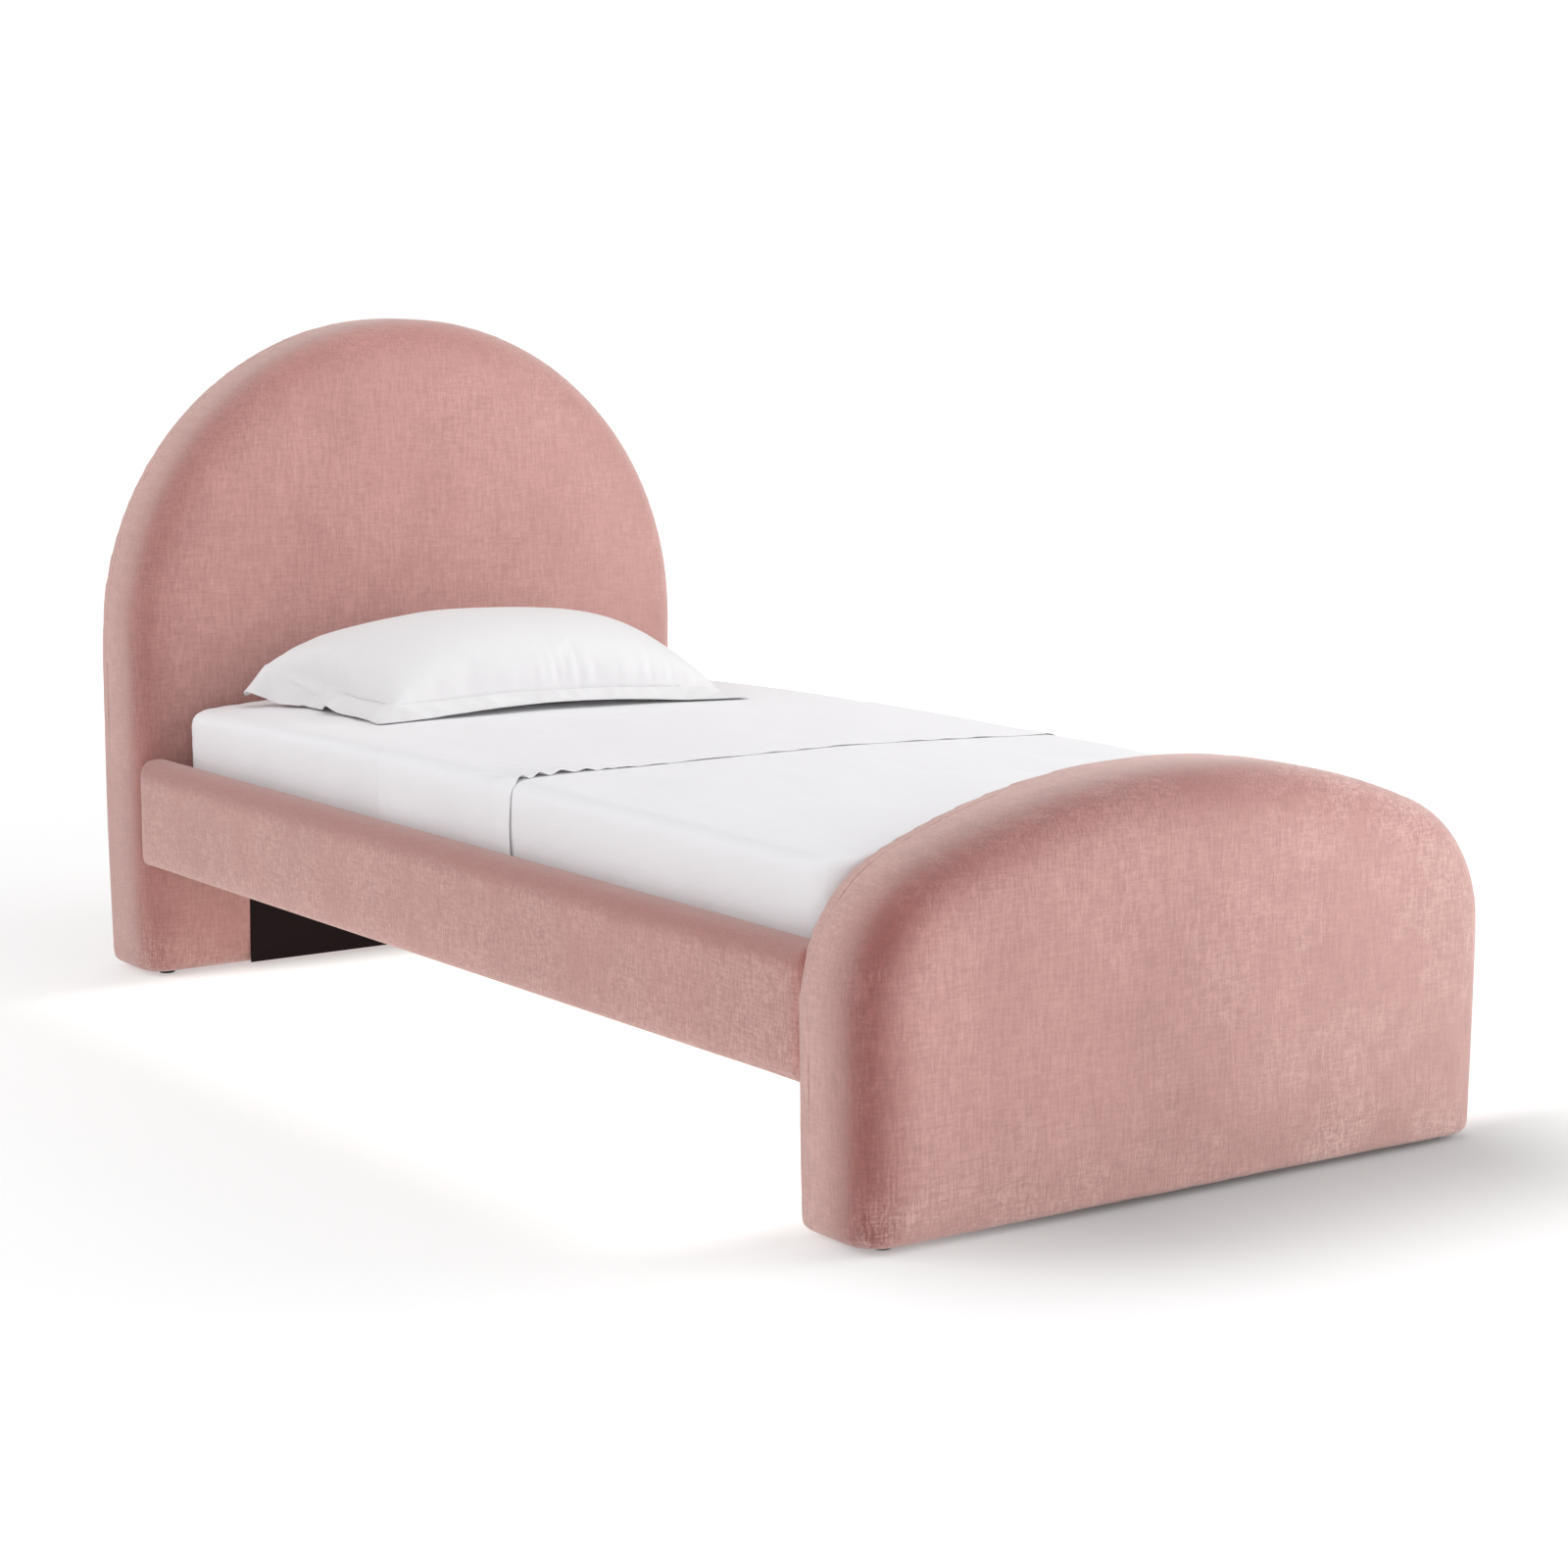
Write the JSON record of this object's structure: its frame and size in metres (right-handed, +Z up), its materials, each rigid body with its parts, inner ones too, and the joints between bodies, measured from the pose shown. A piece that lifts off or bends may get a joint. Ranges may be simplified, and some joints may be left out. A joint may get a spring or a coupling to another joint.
{
  "type": "upholstered bed",
  "caption": "Upholstered single bed with a half-round headboard, low arched footboard, padded side rails, slatted base, mattress, sheets and a flanged pillow.",
  "frame": {"origin": "on the floor under the middle of the whole bed", "axes": "+X across the bed, +Y towards the headboard, +Z up"},
  "size_m": [1.104, 2.25, 1.124],
  "materials": {
    "velvet": "dusty pink short-pile velvet with fine vertical strie",
    "black_cloth": "black non-woven cloth",
    "foam": "open-cell upholstery foam",
    "plywood": "sanded plywood",
    "frame_wood": "planed softwood",
    "slat_wood": "sanded poplar",
    "black_steel": "satin black powder coat",
    "zinc_steel": "bright zinc plate",
    "brass": "turned brass",
    "black_plastic": "moulded nylon",
    "mattress_ticking": "quilted knitted ticking",
    "white_cotton": "white percale cotton",
    "pillow_fill": "cotton-cased fibre fill"
  },
  "bodies": {
    "root": {"board_bolts": "zinc_steel", "centre_beam": "frame_wood", "foot_beam_saddle": "black_steel", "foot_end_leg": "frame_wood", "footboard_arch_rim": "frame_wood", "footboard_bolt_nuts": "zinc_steel", "footboard_bolt_rail": "frame_wood", "footboard_cover": "velvet", "footboard_dust_panel": "black_cloth", "footboard_foam": "foam", "footboard_glides": "black_plastic", "footboard_inner_panel": "plywood", "footboard_left_post": "frame_wood", "footboard_outer_panel": "plywood", "footboard_right_post": "frame_wood", "footboard_sill": "frame_wood", "head_beam_saddle": "black_steel", "head_end_leg": "frame_wood", "headboard_arch_rim": "frame_wood", "headboard_bolt_nuts": "zinc_steel", "headboard_bolt_rail": "frame_wood", "headboard_cover": "velvet", "headboard_cross_rail": "frame_wood", "headboard_dust_panel": "black_cloth", "headboard_foam": "foam", "headboard_glides": "black_plastic", "headboard_inner_panel": "plywood", "headboard_left_post": "frame_wood", "headboard_outer_panel": "plywood", "headboard_right_post": "frame_wood", "headboard_sill": "frame_wood", "left_foot_bracket": "black_steel", "left_head_bracket": "black_steel", "left_rail_board": "frame_wood", "left_rail_cover": "velvet", "left_rail_foam": "foam", "left_slat_ledge": "frame_wood", "leg_bolts": "zinc_steel", "leg_inserts": "brass", "rail_screws": "zinc_steel", "right_foot_bracket": "black_steel", "right_head_bracket": "black_steel", "right_rail_board": "frame_wood", "right_rail_cover": "velvet", "right_rail_foam": "foam", "right_slat_ledge": "frame_wood", "saddle_screws": "zinc_steel", "slat_screws": "zinc_steel", "slats": "slat_wood"},
    "bedding": {"mattress": "mattress_ticking", "fitted_sheet": "white_cotton", "top_sheet": "white_cotton"},
    "pillow_set": {"pillow": "pillow_fill", "pillow_sham": "white_cotton"},
    "foot_end_stud": {"foot_end_stud": "zinc_steel"},
    "foot_end_pad": {"foot_end_pad": "black_plastic"},
    "head_end_stud": {"head_end_stud": "zinc_steel"},
    "head_end_pad": {"head_end_pad": "black_plastic"}
  },
  "joints": [
    {"name": "mattress_lift", "type": "slide", "parent": "root", "child": "bedding", "axis": [0, 0, 1], "range_m": [0, 0.4]},
    {"name": "pillow_lift", "type": "slide", "parent": "bedding", "child": "pillow_set", "axis": [0, 0, 1], "range_m": [0, 0.3]},
    {"name": "foot_end_level", "type": "slide", "parent": "root", "child": "foot_end_stud", "axis": [0, 0, -1], "range_m": [-0.0101, 0.0081]},
    {"name": "foot_end_turn", "type": "hinge", "parent": "foot_end_stud", "child": "foot_end_pad", "pos_m": [0, -0.4, 0.006], "axis": [0, 0, -1], "range_deg": [-2400, 1920]},
    {"name": "head_end_level", "type": "slide", "parent": "root", "child": "head_end_stud", "axis": [0, 0, -1], "range_m": [-0.0101, 0.0081]},
    {"name": "head_end_turn", "type": "hinge", "parent": "head_end_stud", "child": "head_end_pad", "pos_m": [0, 0.4, 0.006], "axis": [0, 0, -1], "range_deg": [-2400, 1920]}
  ],
  "couplings": [
    {"joint": "foot_end_level", "follows": "foot_end_turn", "m_per_rad": 0.00023873},
    {"joint": "head_end_level", "follows": "head_end_turn", "m_per_rad": 0.00023873}
  ]
}
